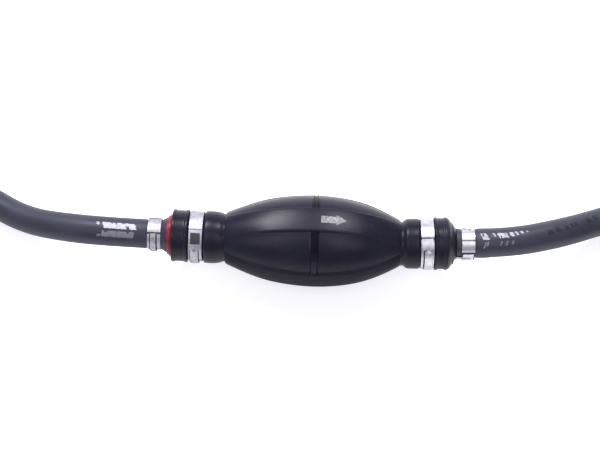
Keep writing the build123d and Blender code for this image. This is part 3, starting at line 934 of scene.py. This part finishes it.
# ------ materials
class Shader:
    """A short way to build a material's nodes. Its surface is set by numbers, colours or nodes."""

    def __init__(self, name, colour, roughness, metallic=0.0):
        self.material = bpy.data.materials.new(name)
        self.material.use_nodes = True
        self.nodes = self.material.node_tree.nodes
        self.links = self.material.node_tree.links
        self.surface = self.nodes["Principled BSDF"]
        self.set("Base Color", colour)
        self.set("Roughness", roughness)
        self.set("Metallic", metallic)
        self.place = self.nodes.new("ShaderNodeTexCoord").outputs["Object"]

    def feed(self, socket, value):
        """Link a socket to another node's output, or set it to a number, vector or colour."""
        if isinstance(value, bpy.types.NodeSocket):
            self.links.new(value, socket)
        elif socket.type == "RGBA":
            socket.default_value = (*value, 1)
        else:
            socket.default_value = value

    def node(self, kind, inputs=None, **settings):
        node = self.nodes.new(kind)
        for key, value in settings.items():
            setattr(node, key, value)
        for key, value in (inputs or {}).items():
            self.feed(node.inputs[key], value)
        return node

    def noise(self, scale, detail=4.0, rough=0.6, vector=None):
        return self.node(
            "ShaderNodeTexNoise",
            {"Vector": vector or self.place, "Scale": scale, "Detail": detail, "Roughness": rough},
        ).outputs["Fac"]

    def ramp(self, factor, low, high, start=0.0, stop=1.0):
        return self.node(
            "ShaderNodeMapRange",
            {"Value": factor, "From Min": start, "From Max": stop, "To Min": low, "To Max": high},
        ).outputs["Result"]

    def mix(self, factor, first, second):
        node = self.node("ShaderNodeMix", data_type="RGBA")
        for index, value in ((0, factor), (6, first), (7, second)):  # the colour mix's own sockets
            self.feed(node.inputs[index], value)
        return node.outputs[2]

    def math(self, operation, first, second=0.0):
        node = self.node("ShaderNodeMath", operation=operation)
        for socket, value in zip(node.inputs, (first, second)):
            self.feed(socket, value)
        return node.outputs[0]

    def set(self, name, value):
        self.feed(self.surface.inputs[name], value)

    def colour(self, socket):
        self.set("Base Color", socket)

    def roughness(self, socket):
        self.set("Roughness", socket)

    def bump(self, height, strength, distance):
        inputs = {"Height": height, "Strength": strength, "Distance": distance}
        bump = self.node("ShaderNodeBump", inputs)
        self.set("Normal", bump.outputs["Normal"])


RUBBER_DARK, RUBBER_LIGHT = (0.007, 0.0065, 0.0145), (0.011, 0.0105, 0.0205)
GRAIN_SCALE = 2600.0


def bulb_rubber(name, gloss, darker=RUBBER_DARK, lighter=RUBBER_LIGHT):
    """Black rubber with a fine grain, lighter patches and dust."""
    shader = Shader(name, darker, 0.42)
    dust = shader.noise(260.0, 6.0, 0.65)
    patches = shader.noise(45.0, 3.0, 0.5)
    shade = shader.mix(shader.ramp(patches, 0.0, 1.0, 0.35, 0.7), darker, lighter)
    dusty = tuple(channel * 2.5 for channel in lighter)
    shader.colour(shader.mix(shader.ramp(dust, 0.0, 0.3, 0.55, 0.8), shade, dusty))
    shader.roughness(shader.ramp(patches, 0.3, 0.36, 0.3, 0.7))
    shader.bump(shader.noise(GRAIN_SCALE, 3.0, 0.6), 0.25, 0.13 / GRAIN_SCALE)
    shader.set("Specular IOR Level", gloss)
    return shader.material


def embossed_rubber(name):
    """The rough face of a raised mark, its colour lighter than the bulb's and flecked with lighter
    specks: painted highlight.
    """
    shader = Shader(name, (0.05, 0.05, 0.055), 0.45)
    specks = shader.noise(900.0, 4.0, 0.7)
    bright = shader.ramp(specks, 0.0, 1.0, 0.34, 0.62)
    # painted highlight: the specks are a lighter grey in the colour
    shader.colour(shader.mix(bright, (0.045, 0.045, 0.052), (0.24, 0.235, 0.26)))
    shader.roughness(shader.ramp(specks, 0.55, 0.3, 0.4, 0.6))
    shader.bump(specks, 0.5, 0.0002)
    return shader.material


HOSE_DARK, HOSE_LIGHT = (0.0205, 0.023, 0.037), (0.028, 0.0315, 0.049)
WHITE_INK, BLACK_INK = (0.42, 0.42, 0.47), (0.004, 0.005, 0.011)


def print_mark(shader, along, around, mark, slant):
    """1 within a slanted dash and 0 outside it. A mark is (start, stop, middle, half height), in
    millimetres along the hose and turns round it."""
    start, stop, middle, half_height = mark
    off_line = shader.math("SUBTRACT", around, middle)
    lean = shader.math("MULTIPLY", off_line, slant * MM)
    off_centre = shader.math("SUBTRACT", shader.math("SUBTRACT", along, (start + stop) / 2 * MM), lean)
    within = shader.math("LESS_THAN", shader.math("ABSOLUTE", off_centre), (stop - start) / 2 * MM)
    level = shader.math("LESS_THAN", shader.math("ABSOLUTE", off_line), half_height)
    return shader.math("MULTIPLY", within, level)


def hose_rubber(name, prints, gloss):
    """Slate grey hose with worn ink. A print is (ink, strength, slant, marks)."""
    shader = Shader(name, (0.055, 0.062, 0.082), 0.5)
    bloom = shader.noise(60.0, 4.0, 0.55)
    fine = shader.noise(1500.0, 3.0, 0.6)
    shade = shader.mix(shader.ramp(bloom, 0.0, 1.0, 0.3, 0.7), HOSE_DARK, HOSE_LIGHT)
    unrolled = shader.node("ShaderNodeUVMap", uv_map="UVMap").outputs["UV"]
    split = shader.node("ShaderNodeSeparateXYZ", {"Vector": unrolled})
    ragged = shader.math("SUBTRACT", shader.noise(900.0, 3.0, 0.7), 0.5)
    along = shader.math("ADD", split.outputs["X"], shader.math("MULTIPLY", ragged, 2.4 * MM))
    around = shader.math("ADD", split.outputs["Y"], shader.math("MULTIPLY", ragged, 0.03))
    wear = shader.ramp(shader.noise(420.0, 5.0, 0.7), 0.55, 1.0, 0.35, 0.5)
    for ink, strength, slant, marks in prints:
        for mark in marks:
            dash = print_mark(shader, along, around, mark, slant)
            worn = shader.math("MULTIPLY", shader.math("MULTIPLY", dash, wear), strength)
            shade = shader.mix(worn, shade, ink)
    shader.colour(shade)
    shader.roughness(shader.ramp(bloom, 0.42, 0.54, 0.3, 0.7))
    shader.bump(fine, 0.2, 0.00006)
    shader.set("Specular IOR Level", gloss)
    return shader.material


def plastic(name, colour, lighter, roughness):
    """A moulded plastic with faint flow marks."""
    shader = Shader(name, colour, roughness)
    flow = shader.noise(180.0, 3.0, 0.5)
    shader.colour(shader.mix(shader.ramp(flow, 0.0, 1.0, 0.3, 0.75), colour, lighter))
    shader.roughness(shader.ramp(flow, roughness - 0.06, roughness + 0.08, 0.3, 0.7))
    shader.bump(shader.noise(2400.0, 2.0, 0.5), 0.15, 0.00004)
    shader.set("Specular IOR Level", 0.3)
    return shader.material


def rolled_steel(name, colour, roughness, scale=1.0, scuffed=0.8):
    """Steel with fine rolling lines round it. Its scuffs have the scuffed part of its brightness."""
    shader = Shader(name, colour, roughness, metallic=1.0)
    mapping = shader.node("ShaderNodeMapping", {"Vector": shader.place, "Scale": (6.0, 0.6, 0.6)})
    lines = shader.noise(900.0 * scale, 4.0, 0.6, vector=mapping.outputs["Vector"])
    scuffs = shader.noise(320.0 * scale, 5.0, 0.7)
    darker = tuple(channel * scuffed for channel in colour)
    shader.colour(shader.mix(shader.ramp(scuffs, 0.0, 1.0, 0.45, 0.75), colour, darker))
    shader.roughness(shader.ramp(lines, roughness - 0.08, roughness + 0.12, 0.3, 0.7))
    shader.bump(lines, 0.25, 0.00004)
    return shader.material


def woven_strap(name):
    """Black webbing: threads that cross each other."""
    shader = Shader(name, (0.02, 0.02, 0.022), 0.85)
    inputs = {"Vector": shader.place, "Scale": 380.0, "Distortion": 0.6}
    along_x = shader.node("ShaderNodeTexWave", inputs, bands_direction="X").outputs["Fac"]
    along_z = shader.node("ShaderNodeTexWave", inputs, bands_direction="Z").outputs["Fac"]
    threads = shader.math("MAXIMUM", along_x, along_z)
    shader.colour(shader.mix(threads, (0.012, 0.012, 0.014), (0.035, 0.035, 0.038)))
    shader.roughness(shader.ramp(threads, 0.7, 0.95))
    shader.bump(threads, 0.6, 0.0002)
    shader.set("Sheen Weight", 0.4)
    return shader.material


def paint(obj, *materials):
    """Give an object its materials, in the order of its faces' material indices."""
    indices = [polygon.material_index for polygon in obj.data.polygons]
    obj.data.materials.clear()
    for material in materials:
        obj.data.materials.append(material)
    obj.data.polygons.foreach_set("material_index", indices)


def paint_nodes(material, *nodes):
    for node in nodes:
        for slot in frame_object(node).material_slots:
            slot.material = material


paint(
    bulb,
    bulb_rubber("bulb_rubber", 0.16),
    # the ring's two copies are darker as painted shade, more so at the top
    bulb_rubber("rib_painted_shade_rubber", 0.07, (0.004, 0.004, 0.008), (0.006, 0.006, 0.012)),
    bulb_rubber("rib_light_painted_shade_rubber", 0.115, (0.0055, 0.0055, 0.011), (0.0085, 0.0085, 0.016)),
    # the underside's copy has less gloss, as painted shade
    bulb_rubber("underside_painted_shade_rubber", 0.035),
)
paint(flow_arrow, embossed_rubber("arrow_rubber"))

inlet_print = [
    (WHITE_INK, 1.0, -24, [(17.2, 35.4, 0.258, 0.035), (37.5, 39.1, 0.238, 0.015)]),
    (WHITE_INK, 0.28, 10, [(17.8, 36.0, 0.354, 0.034), (36.6, 38.4, 0.376, 0.013)]),
    (HOSE_DARK, 0.95, -30, [
        (20.6, 22.2, 0.28, 0.022), (20.8, 22.4, 0.322, 0.016), (33.0, 34.6, 0.322, 0.016),
        (24.0, 24.8, 0.226, 0.012), (27.6, 28.4, 0.228, 0.015), (30.2, 31.0, 0.226, 0.012),
    ]),
]
outlet_print = [
    (WHITE_INK, 0.95, -22, [
        (13.9, 17.4, 0.245, 0.038), (20.6, 21.5, 0.262, 0.024), (23.2, 28.6, 0.25, 0.03),
        (30.2, 31.9, 0.256, 0.026), (33.1, 34.6, 0.262, 0.022), (35.9, 37.6, 0.266, 0.017),
        (39.4, 40.5, 0.27, 0.011),
    ]),
    (HOSE_DARK, 0.95, -22, [
        (14.4, 15.4, 0.262, 0.018), (24.5, 25.1, 0.24, 0.022), (26.6, 27.2, 0.262, 0.022),
    ]),
    (WHITE_INK, 0.3, 20, [
        (15.0, 15.9, 0.150, 0.034), (16.6, 17.4, 0.160, 0.026), (23.9, 24.7, 0.158, 0.024),
        (27.0, 28.0, 0.158, 0.022), (30.4, 31.4, 0.162, 0.022),
    ]),
    (BLACK_INK, 0.85, -12, [
        (51.0, 54.6, 0.215, 0.03), (56.4, 59.2, 0.232, 0.034), (62.4, 64.4, 0.225, 0.03),
        (66.0, 67.6, 0.24, 0.026), (68.6, 70.6, 0.245, 0.03), (77.0, 80.0, 0.24, 0.03),
        (82.0, 85.0, 0.25, 0.03),
    ]),
]
# the inlet hose has less gloss than the outlet hose: painted shade that dims the highlight from the
# stronger lamp on its side
paint(inlet_hose, hose_rubber("inlet_hose_rubber", inlet_print, 0.26))
paint(outlet_hose, hose_rubber("outlet_hose_rubber", outlet_print, 0.36))

paint(inlet_valve_body, plastic("red_plastic", (0.14, 0.0075, 0.016), (0.21, 0.0145, 0.027), 0.34))
paint(outlet_valve_body, plastic("black_plastic", (0.009, 0.009, 0.015), (0.016, 0.016, 0.024), 0.34))

dull_steel = rolled_steel("inlet_clamp_steel", (0.41, 0.405, 0.44), 0.52, scuffed=0.5)
bright_steel = rolled_steel("outlet_clamp_steel", (0.57, 0.565, 0.60), 0.36, scuffed=0.66)
# painted shade: the clamps' shadowed places are a dark non-metal
painted_shade_steel = plastic("clamp_shadowed_steel", (0.03, 0.03, 0.038), (0.05, 0.05, 0.06), 0.5)
for clamp in clamps:
    paint(clamp, dull_steel if clamp.name.startswith("inlet") else bright_steel, painted_shade_steel)

strap_fabric = woven_strap("tie_fabric")
for tie in ties:
    paint(tie, strap_fabric)

acetal = plastic("natural_acetal", (0.55, 0.55, 0.52), (0.62, 0.62, 0.59), 0.4)
seal = plastic("seal_rubber", (0.016, 0.016, 0.017), (0.03, 0.03, 0.03), 0.6)
wire = rolled_steel("spring_wire", (0.62, 0.62, 0.64), 0.3, scale=3.0)
paint_nodes(acetal, "inlet_poppet", "inlet_spring_retainer")
paint_nodes(acetal, "outlet_poppet", "outlet_stem_guide", "outlet_valve_seat")
paint_nodes(seal, "inlet_seat_ring", "outlet_seat_ring")
paint_nodes(wire, "inlet_spring", "outlet_spring")


# ------ floor and light
FLOOR_HALF = 6.0
FLOOR_DROP = 0.05 * MM  # keeps the floor clear of what rests on it
WORLD_COLOUR = (0.86, 0.86, 1.0, 1)
WORLD_STRENGTH = 0.42
COOL, WARM = (0.97, 0.95, 1.0), (1.0, 0.95, 0.93)


def make_floor():
    mesh = bpy.data.meshes.new("floor")
    corners = [(x * FLOOR_HALF, y * FLOOR_HALF, 0) for x, y in ((-1, -1), (1, -1), (1, 1), (-1, 1))]
    mesh.from_pydata(corners, [], [(0, 1, 2, 3)])
    floor = new_object("floor", mesh)
    floor.location.z = -FLOOR_DROP
    shader = Shader("floor_paper", (0.6, 0.6, 0.6), 0.9)
    shader.set("Specular IOR Level", 0.0)
    shader.set("Emission Color", (0.95, 0.95, 1.0))
    shader.set("Emission Strength", 0.7)
    paint(floor, shader.material)


def make_world():
    world = bpy.data.worlds.new("studio")
    bpy.context.scene.world = world
    world.use_nodes = True
    background = world.node_tree.nodes["Background"]
    background.inputs["Color"].default_value = WORLD_COLOUR
    background.inputs["Strength"].default_value = WORLD_STRENGTH


def area_light(name, place, size, watts, colour):
    """A rectangular light that faces the middle of the floor."""
    data = bpy.data.lights.new(name, "AREA")
    data.shape = "RECTANGLE"
    data.size, data.size_y = size
    data.energy = watts
    data.color = colour
    light = new_object(name, data)
    light.location = place
    light.rotation_euler = (Vector((0, 0, 0)) - Vector(place)).to_track_quat("-Z", "Y").to_euler()


make_floor()
make_world()
area_light("rear_left", (-0.46, 0.53, 0.98), (0.42, 0.26), 15, COOL)
area_light("rear_right", (0.30, 0.53, 1.04), (0.26, 0.26), 8.0, COOL)
area_light("front_left", (-0.49, -0.50, 0.98), (0.2, 0.7), 2.4, WARM)
area_light("front_right", (0.34, -0.52, 1.0), (0.2, 0.7), 2.4, WARM)
area_light("backdrop", (0, 1.5, 0.35), (2.4, 0.6), 7, (0.9, 0.9, 1.0))
bpy.context.scene.view_settings.view_transform = "Standard"
